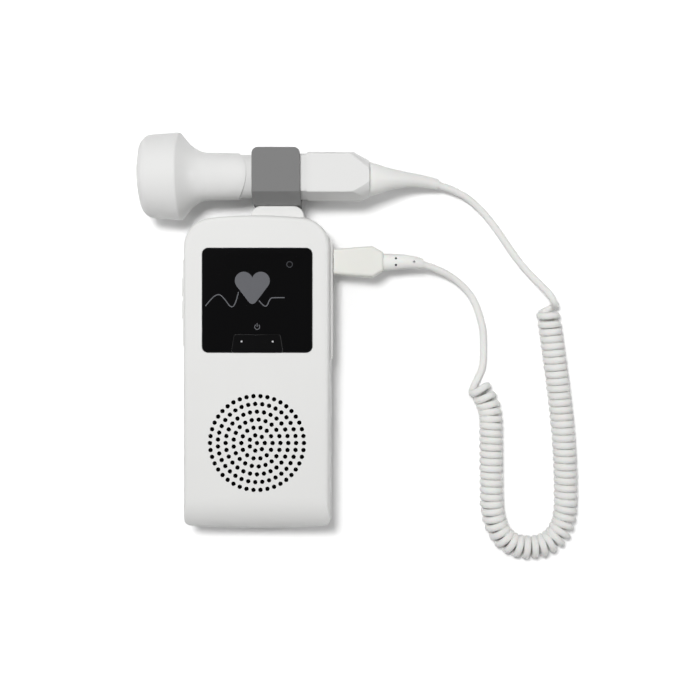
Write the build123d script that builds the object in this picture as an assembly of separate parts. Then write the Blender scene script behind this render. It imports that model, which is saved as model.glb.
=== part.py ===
from build123d import *
from math import cos, pi, radians, sin, tan
import os

# Pocket fetal doppler monitor: a hand-held main unit, a hand probe held in a clip on its
# top end, and a curly lead that plugs into its right side. Millimetres.
# X runs across the unit, Y towards its clip, Z from its back to its front. The origin
# lies in the middle of the flat back that the unit rests on.

# Case of the main unit
unit_length = 154.0
unit_width = 72.2
unit_depth = 31.0
parting_height = 15.0
case_wall = 2.0
top_crown = 2.9
bottom_crown = 1.6
top_corner_radius = 15.0
bottom_corner_radius = 4.0
side_draft = 4.0
front_edge_radius = 2.4
back_edge_radius = 5.0
least_radius = 0.6
cut_over = 1.0
chin_length = 16.5
chin_height = 17.0
lip_height = 1.5
lip_clearance = 0.1
seam_depth = 0.3
seam_height = 0.3

# Raised panels on the two side walls
panel_rise = 0.6
panel_ramp = 3.0
panel_bottom = 8.0
panel_top = 23.0
right_panel_low = 7.4
right_panel_high = 63.0
left_panel_low = 13.4
left_panel_high = 54.7

# Window with its power button
window_x = 0.5
window_top_margin = 16.9
window_width = 53.2
window_height = 50.5
window_corner = 3.0
window_thickness = 1.6
window_proud = 0.1
window_edge = 0.3
window_clearance = 0.1
window_ledge = 2.5
window_frame = 2.0
button_top_width = 22.4
button_bottom_width = 25.1
button_height = 8.8
button_corner = 1.2
button_lift = 1.0
button_proud = 0.2
button_flange = 1.0
button_flange_thickness = 0.8
button_travel = 0.6
button_clearance = 0.15
dot_radius = 0.45
dot_height = 0.25
dot_spacing = 15.0

# Volume keys on the left side
key_length = 9.2
key_height = 4.6
key_z = 19.3
key_drop = 40.7
key_gap = 1.8
key_rise = 0.7
key_flange = 0.8
key_travel = 0.5
key_clearance = 0.15

# Speaker and its grille
speaker_x = 0.4
speaker_rise = 43.1
speaker_radius = 25.0
grille_rings = 6
grille_ring_count = 7
grille_pitch = 3.77
grille_hole_radius = 1.08
screen_thickness = 0.3
gasket_thickness = 0.7
gasket_width = 2.4
speaker_flange = 1.0
speaker_back_gap = 1.0
magnet_radius = 11.0
magnet_depth = 3.3
cone_thickness = 0.4
cone_edge = 0.6
cone_gap = 0.3
dust_cap_height = 3.0
speaker_ring_wall = 1.3
speaker_ring_depth = 3.5
speaker_clearance = 0.2

# Circuit board and what it carries
board_depth = 10.6
board_thickness = 1.6
board_length = 69.0
board_drop = 16.0
board_side_gap = 4.8
board_corner = 3.0
board_post_radius = 3.0
board_post_inset = 3.8
board_post_low_rise = 4.0
left_post_drop = 5.5
right_post_drop = 21.5
switch_size = 6.0
switch_height = 3.5
side_switch_depth = 4.0
display_width = 32.0
display_height = 20.0
display_lift = 2.15
display_gap = 0.8
display_offset = 5.0
led_x = 16.1
led_lift = 17.25
led_radius = 2.5
chip_size = 8.0
chip_height = 1.4
chip_x = -14.0
chip_pitch = 16.0
chip_drop = 8.5
chip_rise = 11.5

# Probe socket, in the right side wall, and the plug in it
socket_drop = 22.4
socket_length = 10.7
socket_width = 13.0
socket_wall = 1.1
plug_barrel_radius = 3.55
plug_barrel_wall = 0.6
plug_barrel_length = 9.0
plug_fit = 0.15
pin_radius = 0.4
pin_length = 6.0
pin_circle = 1.6
pin_count = 4
plug_gap = 0.4
plug_root_width = 12.3
plug_width = 15.4
plug_flare_length = 19.2
plug_shoulder_length = 5.4
plug_neck_width = 9.0
plug_thickness = 11.0
plug_edge_radius = 1.6

# Earphone jack in the left side wall
jack_gap = 3.3
jack_z = 17.3
jack_length = 12.0
jack_width = 6.2
jack_nose_radius = 3.0
jack_bore_radius = 1.8
jack_bore_depth = 13.0
jack_clearance = 0.15

# Battery compartment in the lower back
cell_radius = 7.1
cell_length = 49.2
nub_radius = 2.7
nub_length = 1.3
cell_spacing = 14.8
cell_clearance = 0.4
tray_wall = 1.2
tray_end_gap = 8.5
tray_length = 58.0
contact_thickness = 0.4
contact_height = 10.0
spring_wire = 0.7
spring_large_radius = 4.4
spring_turns = 3.5
spring_gap = 0.02
spring_cone_angle = 20.0
door_thickness = 1.8
door_half_width = 18.5
door_overlap = 2.5
door_clearance = 0.15
door_tongue = 1.0
door_lip = 0.7
door_shelf = 1.5
door_groove_count = 5
door_groove_width = 1.0
door_groove_pitch = 2.2
door_groove_depth = 0.5
door_groove_length = 15.0
door_groove_start = 6.6

# Fasteners
case_screw_radius = 1.25
case_screw_length = 13.0
case_screw_head_radius = 2.3
case_screw_head_height = 1.8
case_screw_side = 7.6
case_screw_drop = 12.0
case_screw_rise = 11.0
case_post_radius = 3.5
counterbore_depth = 6.0
board_screw_radius = 1.0
board_screw_length = 5.0
board_screw_head_radius = 1.9
board_screw_head_height = 1.3
screw_clearance = 0.05
head_clearance = 0.3
slot_width = 0.6
slot_depth = 0.7

# Neck and probe clip on the top end
neck_x = 9.7
neck_width = 26.2
neck_length = 4.3
neck_bottom = 6.0
neck_top = 25.0
neck_corner = 5.4
neck_edge_radius = 0.8
clip_width = 23.1
clip_thickness = 2.2
clip_spine = 2.2
clip_seat_gap = 0.05
clip_play = 0.3
clip_front_reach = 11.8
clip_rear_reach = 8.5
clip_corner = 3.0
clip_tongue_width = 12.0
clip_tongue_height = 4.4
clip_head_overhang = 2.5
clip_head_thickness = 1.8
clip_slot_clearance = 0.15

# Probe: a head like a shallow cup, a flared neck and a six-sided handle
head_radius = 21.2
head_floor_gap = 0.7
head_taper = 1.0
head_lip_drop = 0.8
head_edge_step = 0.4
face_rim = 2.8
face_front = -58.3
face_sagitta = 2.6
face_thickness = 1.6
face_seat_width = 1.5
face_clearance = 0.15
head_side_start = -51.7
head_ridge = -38.0
head_back = -37.2
head_wall = 1.8
spigot_length = 3.7
spigot_wall = 1.6
spigot_clearance = 0.25
flare_end = -24.5
flare_start_step = 0.5
flare_start_run = 4.1
flare_start_drop = 5.1
flare_end_run = 6.0
flare_end_rise = 0.4
neck_radius = 11.6
neck_tip = -4.7
neck_tip_radius = 11.2
neck_arc_radius = 16.5
probe_wall = 1.8
recess_radius = 10.5
recess_start = -12.5
waist_start = 4.0
waist_end = 24.5
waist_depth = 0.7
handle_end = 54.5
handle_flat_half = 9.2
handle_middle_half = 12.2
handle_half_depth = 11.5
handle_front_radius = 1.0
handle_side_radius = 4.0
handle_round_start = 41.0
handle_round_side = 15.0
handle_round_depth = 18.0
handle_end_side = 8.9
handle_end_depth = 12.0
handle_end_wall = 2.2
handle_seam_depth = 0.25
handle_seam_height = 0.3
crystal_radius = 10.0
crystal_gap = 1.0
crystal_thickness = 0.8
backing_radius = 11.5
backing_thickness = 5.0
probe_board_low = -16.0
probe_board_high = 34.0
probe_board_half_width = 7.5
probe_board_thickness = 1.6
rib_width = 1.5
rib_inset = 3.0

# Strain reliefs and lead
boot_neck_radius = 5.5
boot_neck_clearance = 0.1
boot_collar_radius = 6.4
boot_collar_thickness = 1.6
probe_boot_radii = [8.4, 6.3, 4.5, 3.5, 3.0, 2.7]
boot_side_shift = 1.3
plug_boot_radii = [4.3, 3.9, 3.3, 2.7]
dimple_radius = 0.55
dimple_depth = 2.6
dimple_near = 6.2
dimple_far = 15.3
dimple_spread = 1.65
cord_radius = 1.8
coil_radius = 6.0
coil_bend_radius = 18.5
coil_largest_radius = 465.0
corner_share = 0.45
floor_gap = 0.05

# Places that follow from the sizes above
half_length = unit_length / 2
half_width = unit_width / 2
inner_front = unit_depth - case_wall
lip_inset = case_wall / 2
case_screw_seat = counterbore_depth
case_screw_x = half_width - case_screw_side
case_screw_top_y = half_length - case_screw_drop
case_screw_bottom_y = case_screw_rise - half_length
window_y = half_length - window_top_margin - window_height / 2
window_seat = unit_depth + window_proud - window_thickness
button_y = window_y - window_height / 2 + button_height / 2 + button_lift
board_bottom = unit_depth - board_depth
board_top = board_bottom + board_thickness
board_high = half_length - board_drop
board_low = board_high - board_length
board_half_width = half_width - board_side_gap
board_post_x = board_half_width - board_post_inset
board_lean = (board_bottom - parting_height) * tan(radians(side_draft))
display_y = window_y + display_lift
led_y = window_y + led_lift
key_y = half_length - key_drop
key_corner = key_height / 3
key_edge_radius = key_rise / 2
key_lean = (key_z + key_height / 2 + key_flange - parting_height) * tan(radians(side_draft))
side_switch_x = board_half_width - case_wall / 5
socket_y = half_length - socket_drop
socket_z = parting_height
socket_half_height = board_bottom - socket_z
socket_nose_radius = plug_barrel_radius + plug_fit + socket_wall
plug_face = half_width + panel_rise + plug_gap
lower_key_end = key_y - (key_length + key_gap) / 2 - key_length / 2 - key_flange
jack_y = lower_key_end - jack_gap - jack_width / 2
tray_low = tray_end_gap - half_length
tray_high = tray_low + tray_length
door_high = tray_high + door_overlap
cell_z = door_thickness + cell_clearance + cell_radius
tray_top = cell_z + cell_radius + cell_clearance + tray_wall
speaker_y = speaker_rise - half_length
speaker_top = inner_front - screen_thickness - gasket_thickness
speaker_depth = speaker_top - tray_top - speaker_back_gap
neck_end = half_length + neck_length
clip_back = neck_end + clip_seat_gap
probe_y = clip_back + clip_spine + clip_play + handle_middle_half
probe_z = head_radius + head_floor_gap
head_front_radius = head_radius - head_taper
face_radius = head_front_radius - face_rim
flare_start_radius = head_radius - flare_start_step
cord_z = cord_radius + floor_gap
coil_z = coil_radius + floor_gap

# Route of the lead. Both tails come down from their strain reliefs to the resting surface.
probe_tail = [
    Vector(88.8, half_length + 17.4, 9.3),
    Vector(98.6, half_length + 15.6, 4.6),
    Vector(108.6, half_length + 8.6, cord_z),
    Vector(118.0, half_length - 2.4, cord_z),
    Vector(127.0, half_length - 14.6, cord_z),
    Vector(135.8, half_length - 25.2, cord_z),
    Vector(143.4, half_length - 33.8, cord_z),
    Vector(145.0, half_length - 44.2, cord_z),
]
plug_tail = [
    Vector(80.6, half_length - 23.0, 13.0),
    Vector(91.2, half_length - 26.0, 8.2),
    Vector(102.4, half_length - 33.6, 3.0),
    Vector(109.8, half_length - 45.0, cord_z),
    Vector(113.3, half_length - 56.8, cord_z),
    Vector(113.4, half_length - 67.6, cord_z),
    Vector(111.8, half_length - 77.6, cord_z),
    Vector(112.8, half_length - 85.0, cord_z),
]
coil_route = [
    Vector(145.0, half_length - 44.2, coil_z),
    Vector(149.6, half_length - 74.1, coil_z),
    Vector(154.6, half_length - 119.0, coil_z),
    Vector(154.4, half_length - 166.0, coil_z),
    Vector(117.2, half_length - 166.0, coil_z),
    Vector(116.6, half_length - 113.2, coil_z),
    Vector(112.8, half_length - 85.0, coil_z),
]


# General shapes


def block(x_range, y_range, z_range):
    """Box that fills the three given ranges."""
    ranges = (x_range, y_range, z_range)
    size = [high - low for low, high in ranges]
    middle = [(low + high) / 2 for low, high in ranges]
    return Pos(*middle) * Box(*size)


def peg(x, y, radius, low, high):
    """Upright cylinder between two heights."""
    return Pos(x, y, (low + high) / 2) * Cylinder(radius, high - low)


def bar(y, z, radius, left, right):
    """Cylinder that lies along X."""
    return Pos((left + right) / 2, y, z) * Rot(0, 90, 0) * Cylinder(radius, right - left)


def closed_face(points):
    """Flat face inside a closed run of straight lines."""
    return make_face(Polyline(*points, close=True))


def upright(outline, low, high):
    """Solid raised from a plan outline between two heights."""
    return extrude(Pos(0, 0, low) * outline, amount=high - low)


def group(solids):
    """Identical loose pieces kept as separate solids."""
    return Compound(children=[solid.solid() for solid in solids])


# Case: both halves are drafted trays that meet at the parting height


def case_outline(inset, height):
    """Plan of the case, drawn in by the inset, at a height."""
    side = half_width - inset
    end = half_length - inset
    top = end - top_crown
    bottom = bottom_crown - end
    edges = [
        ThreePointArc((side, top), (0, end), (-side, top)),
        Line((-side, top), (-side, bottom)),
        ThreePointArc((-side, bottom), (0, -end), (side, bottom)),
        Line((side, bottom), (side, top)),
    ]
    plan = make_face(edges)
    plan = fillet(plan.vertices().group_by(Axis.Y)[-1], max(top_corner_radius - inset, least_radius))
    plan = fillet(plan.vertices().group_by(Axis.Y)[0], max(bottom_corner_radius - inset, least_radius))
    return Pos(0, 0, height) * plan


def chin_cut(inset):
    """What the rolled-off lower end of the front leaves away."""
    start = -half_length + chin_length
    drop = unit_depth - chin_height - inset
    beyond = -half_length - chin_length
    above = unit_depth + chin_length
    curve = EllipticalCenterArc(
        (start, chin_height), chin_length - inset, drop, start_angle=90, arc_size=90
    )
    rest = Polyline(curve @ 1, (beyond, chin_height), (beyond, above), (start, above), curve @ 0)
    return extrude(Plane.YZ * make_face([curve, rest]), amount=unit_width, both=True)


def front_form(inset):
    """Front half of the case as a full body, drawn in by the inset."""
    top = unit_depth - inset
    lean = (top - parting_height) * tan(radians(side_draft))
    outlines = [case_outline(inset, parting_height), case_outline(inset + lean, top)]
    form = loft(outlines, ruled=True)
    radius = front_edge_radius if inset == 0 else least_radius
    form = fillet(form.faces().sort_by(Axis.Z)[-1].edges(), radius)
    return form - chin_cut(inset)


def rear_form(inset):
    """Rear half of the case as a full body, drawn in by the inset."""
    lean = (parting_height - inset) * tan(radians(side_draft))
    outlines = [case_outline(inset + lean, inset), case_outline(inset, parting_height)]
    radius = back_edge_radius if inset == 0 else least_radius
    form = loft(outlines, ruled=True)
    return fillet(form.faces().sort_by(Axis.Z)[0].edges(), radius)


def side_panel(side, low, high):
    """Slightly raised panel on a side wall, ramped at its lower and upper ends."""
    inner = side * (half_width - case_wall / 2)
    outer = side * (half_width + panel_rise)
    corners = [(inner, low - panel_ramp), (outer, low), (outer, high), (inner, high + panel_ramp)]
    panel = upright(closed_face(corners), panel_bottom, panel_top)
    return chamfer(panel.edges().filter_by(Axis.Y).sort_by(Axis.X)[-2:] if side > 0
                   else panel.edges().filter_by(Axis.Y).sort_by(Axis.X)[:2], panel_rise / 2)


def neck():
    """Stub on the top end that the probe clip hangs on."""
    root = half_length - 3 * case_wall / 4
    stub = block(
        (neck_x - neck_width / 2, neck_x + neck_width / 2), (root, neck_end), (neck_bottom, neck_top)
    )
    stub = fillet(stub.edges().filter_by(Axis.Z).group_by(Axis.Y)[-1], neck_corner)
    rims = stub.faces().sort_by(Axis.Z)[-1].edges() + stub.faces().sort_by(Axis.Z)[0].edges()
    return fillet([rim for rim in rims if rim.center().Y > root + least_radius / 2], neck_edge_radius)


def case_outside():
    """Panels and neck, to be shared out between the halves."""
    right = side_panel(1, right_panel_low, right_panel_high)
    left = side_panel(-1, left_panel_low, left_panel_high)
    return right + left + neck()


def half_space(front):
    """Everything in front of, or behind, the parting plane."""
    reach = 2 * unit_length
    limits = (parting_height, reach) if front else (-reach, parting_height)
    return block((-reach, reach), (-reach, reach), limits)


def side_holes():
    """Holes through the case walls for the socket, the earphone jack and the clip's tongue."""
    tongue = clip_tongue_width / 2 + clip_slot_clearance
    tongue_half_height = clip_tongue_height / 2 + clip_slot_clearance
    socket_hole = bar(
        socket_y, socket_z, socket_nose_radius + plug_fit, half_width - 2 * case_wall, half_width + case_wall
    )
    jack_hole = bar(
        jack_y, jack_z, jack_nose_radius + jack_clearance, -half_width - case_wall, -half_width + 2 * case_wall
    )
    slot = block(
        (neck_x - tongue, neck_x + tongue),
        (half_length - 2 * case_wall, neck_end + case_wall),
        (parting_height - tongue_half_height, parting_height + tongue_half_height),
    )
    return socket_hole + jack_hole + slot


def seam_ring():
    """Shallow groove all round the front cover's edge, so that the seam shows as a line."""
    top = parting_height + seam_height
    around = upright(case_outline(-2 * panel_rise, 0), parting_height - cut_over, top)
    around -= upright(case_outline(seam_depth, 0), parting_height - 2 * cut_over, top + cut_over)
    half = neck_width / 2
    return around - block((neck_x - half, neck_x + half), (0, unit_length), (0, unit_depth))


def grille_places():
    """Centres of the grille holes: one hole, then rings that each gain the same number."""
    places = [(speaker_x, speaker_y)]
    for ring in range(1, grille_rings + 1):
        count = ring * grille_ring_count
        for step in range(count):
            angle = 2 * pi * step / count
            reach = ring * grille_pitch
            places.append((speaker_x + reach * cos(angle), speaker_y + reach * sin(angle)))
    return places


def window_outline(growth):
    """Plan of the window, grown or shrunk all round."""
    shape = RectangleRounded(
        window_width + 2 * growth, window_height + 2 * growth, max(window_corner + growth, least_radius)
    )
    return Pos(window_x, window_y) * shape


def button_outline(growth):
    """Plan of the power button, a trapezium that stands on the window's lower edge."""
    low = window_y - window_height / 2 - growth
    high = low + button_height + 2 * growth
    bottom = button_bottom_width / 2 + growth
    top = button_top_width / 2 + growth
    shape = closed_face(
        [(window_x - bottom, low), (window_x + bottom, low), (window_x + top, high), (window_x - top, high)]
    )
    return fillet(shape.vertices(), button_corner)


def key_places():
    """Y of the two volume keys, the upper one first."""
    step = (key_length + key_gap) / 2
    return [key_y + step, key_y - step]


def key_opening(y):
    """Hole in the left wall for one volume key."""
    length = key_length + 2 * key_clearance
    height = key_height + 2 * key_clearance
    hole = block(
        (-half_width - 2 * case_wall, -half_width + 2 * case_wall),
        (y - length / 2, y + length / 2),
        (key_z - height / 2, key_z + height / 2),
    )
    return fillet(hole.edges().filter_by(Axis.X), key_corner + key_clearance)


def case_screw_places():
    """Plan places of the four case screws."""
    return [(x, y) for x in (-case_screw_x, case_screw_x) for y in (case_screw_top_y, case_screw_bottom_y)]


def front_cover():
    """Front half of the case, with its grille, window seat, posts and speaker ring."""
    room = front_form(case_wall)
    cover = front_form(0) + (case_outside() & half_space(True)) - room

    inside = peg(speaker_x, speaker_y, speaker_radius + speaker_clearance + speaker_ring_wall,
                 inner_front - speaker_ring_depth, unit_depth)
    for x, y in case_screw_places():
        inside += peg(x, y, case_post_radius, parting_height, unit_depth)
    for x, y in board_post_places():
        inside += peg(x, y, board_post_radius, board_top, unit_depth)
    inside += upright(window_outline(window_frame), window_seat - window_frame, unit_depth)
    cover += inside & front_form(case_wall / 2)

    cover -= peg(speaker_x, speaker_y, speaker_radius + speaker_clearance,
                 inner_front - speaker_ring_depth - cut_over, inner_front)
    cover -= [
        peg(x, y, grille_hole_radius, inner_front - cut_over, unit_depth + cut_over)
        for x, y in grille_places()
    ]
    cover -= upright(window_outline(window_clearance), window_seat, unit_depth + cut_over)
    cover -= upright(window_outline(-window_ledge), window_seat - 2 * window_frame, unit_depth + cut_over)
    cover -= upright(button_outline(button_clearance), window_seat - 2 * window_frame, unit_depth + cut_over)
    for x, y in case_screw_places():
        tip = case_screw_seat + case_screw_length + 2 * head_clearance
        cover -= peg(x, y, case_screw_radius + screw_clearance, parting_height, tip)
    for x, y in board_post_places():
        tip = board_bottom + board_screw_length + head_clearance
        cover -= peg(x, y, board_screw_radius + screw_clearance, board_top, tip)
    for y in key_places():
        cover -= key_opening(y)

    step = upright(case_outline(lip_inset - lip_clearance, 0), parting_height - cut_over,
                   parting_height + lip_height + lip_clearance)
    cover -= step - screw_post_room()
    cover -= seam_ring()
    return cover - side_holes()


def screw_post_room():
    """Room of the case screw posts, which the lip and its groove keep clear of."""
    posts = [peg(x, y, case_post_radius, parting_height, unit_depth) for x, y in case_screw_places()]
    return posts[0] + posts[1] + posts[2] + posts[3]


def battery_tray():
    """Box inside the lower back that holds the two cells, open towards the door."""
    half = cell_spacing / 2 + cell_radius + cell_clearance
    roof = cell_z + cell_radius + cell_clearance
    shelf_half = door_half_width + door_tongue + 2 * tray_wall
    walls = block(
        (-half - tray_wall, half + tray_wall),
        (tray_low - tray_wall, tray_high + tray_wall),
        (case_wall, roof + tray_wall),
    )
    shelf = block(
        (-shelf_half, shelf_half), (-half_length, door_high + 2 * tray_wall), (case_wall, case_wall + door_shelf)
    )
    room = block((-half, half), (tray_low, tray_high), (0, roof))
    return (walls + (shelf & rear_form(0))) - room


def door_way(lip_room, grow):
    """Room that the battery door and its two tongues slide in."""
    half = door_half_width + grow
    wide = half + door_tongue
    beyond = -unit_length
    plate = block((-half, half), (beyond, door_high + grow), (-cut_over, lip_room))
    tongues = block((-wide, wide), (beyond, door_high + grow), (door_lip - grow, lip_room))
    return plate + tongues


def rear_cover():
    """Rear half of the case, with the lip, battery tray, door way and screw posts."""
    room = rear_form(case_wall)
    cover = rear_form(0) + (case_outside() & half_space(False)) - room
    lip = upright(case_outline(lip_inset, 0), parting_height - case_wall, parting_height + lip_height)
    lip -= upright(case_outline(case_wall, 0), parting_height - 2 * case_wall, parting_height + 2 * case_wall)
    cover += lip - screw_post_room()
    for x, y in case_screw_places():
        cover += peg(x, y, case_post_radius, case_wall / 2, parting_height)
    cover += battery_tray()
    half = cell_spacing / 2 + cell_radius + cell_clearance
    cover -= block((-half, half), (tray_low, tray_high), (-cut_over, case_wall + door_shelf))
    cover -= door_way(case_wall, door_clearance)
    for x, y in case_screw_places():
        cover -= peg(x, y, case_screw_head_radius + head_clearance, -cut_over, counterbore_depth)
        cover -= peg(x, y, case_screw_radius + screw_clearance, 0, parting_height + cut_over)
    for y in key_places():
        cover -= key_opening(y)
    return cover - side_holes()


def battery_door():
    """Sliding battery door with a tongue along each side and a ribbed thumb grip."""
    half = door_half_width
    plate = block((-half, half), (-half_length, door_high), (0, door_thickness))
    wide = half + door_tongue
    plate += block((-wide, wide), (-half_length, door_high), (door_lip, door_thickness))
    door = plate & rear_form(0)
    for step in range(door_groove_count):
        y = door_high - door_groove_start - step * door_groove_pitch
        door -= block(
            (-door_groove_length / 2, door_groove_length / 2),
            (y - door_groove_width / 2, y + door_groove_width / 2),
            (-cut_over, door_groove_depth),
        )
    return door


# Pieces in the front of the case


def display_window():
    """Gloss lens in its seat, notched for the power button."""
    lens = upright(window_outline(0), window_seat, window_seat + window_thickness)
    lens = chamfer(lens.faces().sort_by(Axis.Z)[-1].edges(), window_edge)
    return lens - upright(button_outline(button_clearance), window_seat - cut_over, unit_depth + cut_over)


def power_button():
    """Power button: cap with two raised dots, a flange under the lens and a stem."""
    top = unit_depth + window_proud + button_proud
    flange_low = window_seat - button_clearance - button_flange_thickness
    flange_bottom = window_y - window_height / 2 + window_ledge + button_flange
    flange_top = window_y - window_height / 2 + button_height + button_flange
    flange_half = button_top_width / 2 + button_flange
    button = upright(button_outline(0), flange_low, top)
    button = chamfer(button.faces().sort_by(Axis.Z)[-1].edges(), button_proud)
    button += block(
        (window_x - flange_half, window_x + flange_half),
        (flange_bottom, flange_top),
        (flange_low, flange_low + button_flange_thickness),
    )
    stem_end = board_top + switch_height + button_travel + window_clearance
    button += peg(window_x, button_y, board_screw_head_radius, stem_end, flange_low + button_proud)
    for side in (-1, 1):
        button += peg(window_x + side * dot_spacing / 2, button_y, dot_radius, top - dot_height, top + dot_height)
    return button


def volume_key(y):
    """One volume key: cap in the side wall, flange behind it and a stem to its switch."""
    outer = -half_width - panel_rise - key_rise
    behind = -half_width + case_wall + key_lean + key_clearance
    cap = block((outer, behind), (y - key_length / 2, y + key_length / 2),
                (key_z - key_height / 2, key_z + key_height / 2))
    cap = fillet(cap.edges().filter_by(Axis.X), key_corner)
    cap = fillet(cap.faces().sort_by(Axis.X)[0].edges(), key_edge_radius)
    flange = block(
        (behind, behind + key_flange),
        (y - key_length / 2 - key_flange, y + key_length / 2 + key_flange),
        (key_z - key_height / 2 - key_flange, key_z + key_height / 2 + key_flange),
    )
    stem_end = -side_switch_x - key_travel - window_clearance
    stem_z = board_bottom - switch_height / 2
    stem = bar(y, stem_z, board_screw_radius, behind, stem_end)
    return cap + flange + stem


def main_board():
    """Circuit board with a screw hole at each post."""
    plan = Pos(0, (board_low + board_high) / 2) * RectangleRounded(
        2 * board_half_width, board_high - board_low, board_corner
    )
    board = upright(plan, board_bottom, board_top)
    for x, y in board_post_places():
        board -= peg(x, y, board_screw_radius + screw_clearance, board_bottom - cut_over, board_top + cut_over)
    return board


def board_chips():
    """The larger chips on the front of the board."""
    half = chip_size / 2
    high = board_high - chip_drop
    places = [(chip_x, high), (chip_x + chip_pitch, high), (chip_x, board_low + chip_rise)]
    return group([
        block((x - half, x + half), (y - half, y + half), (board_top, board_top + chip_height))
        for x, y in places
    ])


def tact_switches():
    """Switch under the power button and the two at the board's left edge."""
    half = switch_size / 2
    switches = [
        block((window_x - half, window_x + half), (button_y - half, button_y + half),
              (board_top, board_top + switch_height))
    ]
    for y in key_places():
        switches.append(
            block((-side_switch_x, -side_switch_x + side_switch_depth), (y - half, y + half),
                  (board_bottom - switch_height, board_bottom))
        )
    return group(switches)


def display_module():
    """Digit display on the board, just behind the lens."""
    return block(
        (led_x - display_offset - display_width, led_x - display_offset),
        (display_y - display_height / 2, display_y + display_height / 2),
        (board_top, window_seat - display_gap),
    )


def indicator_led():
    """Round indicator lamp on the board."""
    dome = window_seat - display_gap
    lamp = peg(led_x, led_y, led_radius, board_top, dome)
    return fillet(lamp.faces().sort_by(Axis.Z)[-1].edges(), led_radius / 2)


def dust_screen():
    """Black cloth disc behind the grille."""
    return peg(speaker_x, speaker_y, speaker_radius, inner_front - screen_thickness, inner_front)


def speaker_gasket():
    """Foam ring between the cloth and the speaker."""
    top = inner_front - screen_thickness
    ring = peg(speaker_x, speaker_y, speaker_radius, top - gasket_thickness, top)
    return ring - peg(speaker_x, speaker_y, speaker_radius - gasket_width,
                      top - 2 * gasket_thickness, top + cut_over)


def speaker_turned(points):
    """Solid turned about the speaker's axis from (radius, height) points."""
    return Pos(speaker_x, speaker_y, 0) * revolve(Plane.XZ * closed_face(points), axis=Axis.Z)


def speaker_frame():
    """Pressed basket of the speaker."""
    top = speaker_top
    inner = speaker_radius - gasket_width
    floor = top - speaker_depth + magnet_depth
    plate = speaker_flange
    return speaker_turned([
        (inner, top), (speaker_radius, top), (speaker_radius, top - plate), (inner + plate, top - plate),
        (magnet_radius + plate, floor), (magnet_radius / 2, floor), (magnet_radius / 2, floor + plate),
        (magnet_radius, floor + plate), (inner - plate, top - plate),
    ])


def speaker_cone():
    """Paper cone with its dust cap."""
    rim = speaker_radius - gasket_width - speaker_flange / 2
    foot = magnet_radius - cone_thickness
    top = speaker_top
    floor = speaker_top - speaker_depth + magnet_depth + speaker_flange + cone_gap
    step = cone_edge
    return speaker_turned([
        (rim, top), (rim - step, top - step), (foot, floor), (0, floor), (0, floor + dust_cap_height),
        (foot / 2, floor + 2 * dust_cap_height / 3), (foot, floor + step), (rim - 2 * step, top),
    ])


def speaker_magnet():
    """Magnet pot on the back of the speaker."""
    low = speaker_top - speaker_depth
    pot = peg(speaker_x, speaker_y, magnet_radius, low, low + magnet_depth)
    return chamfer(pot.faces().sort_by(Axis.Z)[0].edges(), least_radius)


def screw(x, y, seat, radius, length, head_radius, head_height):
    """Pan-head screw driven upwards, with a cross slot."""
    body = peg(x, y, radius, seat, seat + length)
    head = peg(x, y, head_radius, seat - head_height, seat)
    head = fillet(head.faces().sort_by(Axis.Z)[0].edges(), head_height / 3)
    cross = block((x - head_radius / 2, x + head_radius / 2), (y - slot_width / 2, y + slot_width / 2),
                  (seat - head_height - cut_over, seat - head_height + slot_depth))
    cross += block((x - slot_width / 2, x + slot_width / 2), (y - head_radius / 2, y + head_radius / 2),
                   (seat - head_height - cut_over, seat - head_height + slot_depth))
    return body + head - cross


def case_screws():
    """Four screws that join the case halves from behind."""
    return group([
        screw(x, y, case_screw_seat, case_screw_radius, case_screw_length,
              case_screw_head_radius, case_screw_head_height)
        for x, y in case_screw_places()
    ])


def board_post_places():
    """Plan places of the posts that the board is screwed to."""
    return [
        (-board_post_x, board_high - left_post_drop), (board_post_x, board_high - right_post_drop),
        (-board_post_x, board_low + board_post_low_rise), (board_post_x, board_low + board_post_low_rise),
    ]


def board_screws():
    """Four screws that hold the board to the front cover."""
    return group([
        screw(x, y, board_bottom, board_screw_radius, board_screw_length,
              board_screw_head_radius, board_screw_head_height)
        for x, y in board_post_places()
    ])


# Batteries


def cell(side):
    """One dry cell; its nub points to the tray's upper end on the left, lower end on the right."""
    x = side * cell_spacing / 2
    nub_tip = tray_high - contact_thickness if side < 0 else tray_low + contact_thickness
    shoulder = nub_tip + side * nub_length
    far = shoulder + side * cell_length
    y_range = (min(shoulder, far), max(shoulder, far))
    body = Pos(x, sum(y_range) / 2, cell_z) * Rot(90, 0, 0) * Cylinder(cell_radius, cell_length)
    body = fillet(body.edges(), least_radius)
    nub = Pos(x, (shoulder + nub_tip) / 2, cell_z) * Rot(90, 0, 0) * Cylinder(nub_radius, nub_length)
    return body + nub


def battery_contacts():
    """Spring-steel plates at both ends of the tray."""
    half = contact_height / 2
    z_range = (cell_z - half, cell_z + half)
    reach = cell_spacing / 2 + half
    gap = cell_spacing / 2 - half
    low = (tray_low, tray_low + contact_thickness)
    high = (tray_high - contact_thickness, tray_high)
    return group([
        block((-reach, reach), high, z_range),
        block((-reach, -gap), low, z_range),
        block((gap, reach), low, z_range),
    ])


def battery_spring(side):
    """Conical coil of wire between a contact plate and a cell's flat end."""
    room = tray_high - tray_low - 2 * contact_thickness - nub_length - cell_length
    height = room - spring_wire - 2 * spring_gap
    plate = tray_low + contact_thickness if side < 0 else tray_high - contact_thickness
    start = plate - side * (spring_wire / 2 + spring_gap)
    path = Helix(height / spring_turns, height, spring_large_radius, cone_angle=-spring_cone_angle)
    coil = sweep(Plane(origin=path @ 0, z_dir=path % 0) * Circle(spring_wire / 2), path=path)
    return Pos(side * cell_spacing / 2, start, cell_z) * Rot(90 * side, 0, 0) * coil


# Sockets in the side walls


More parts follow.
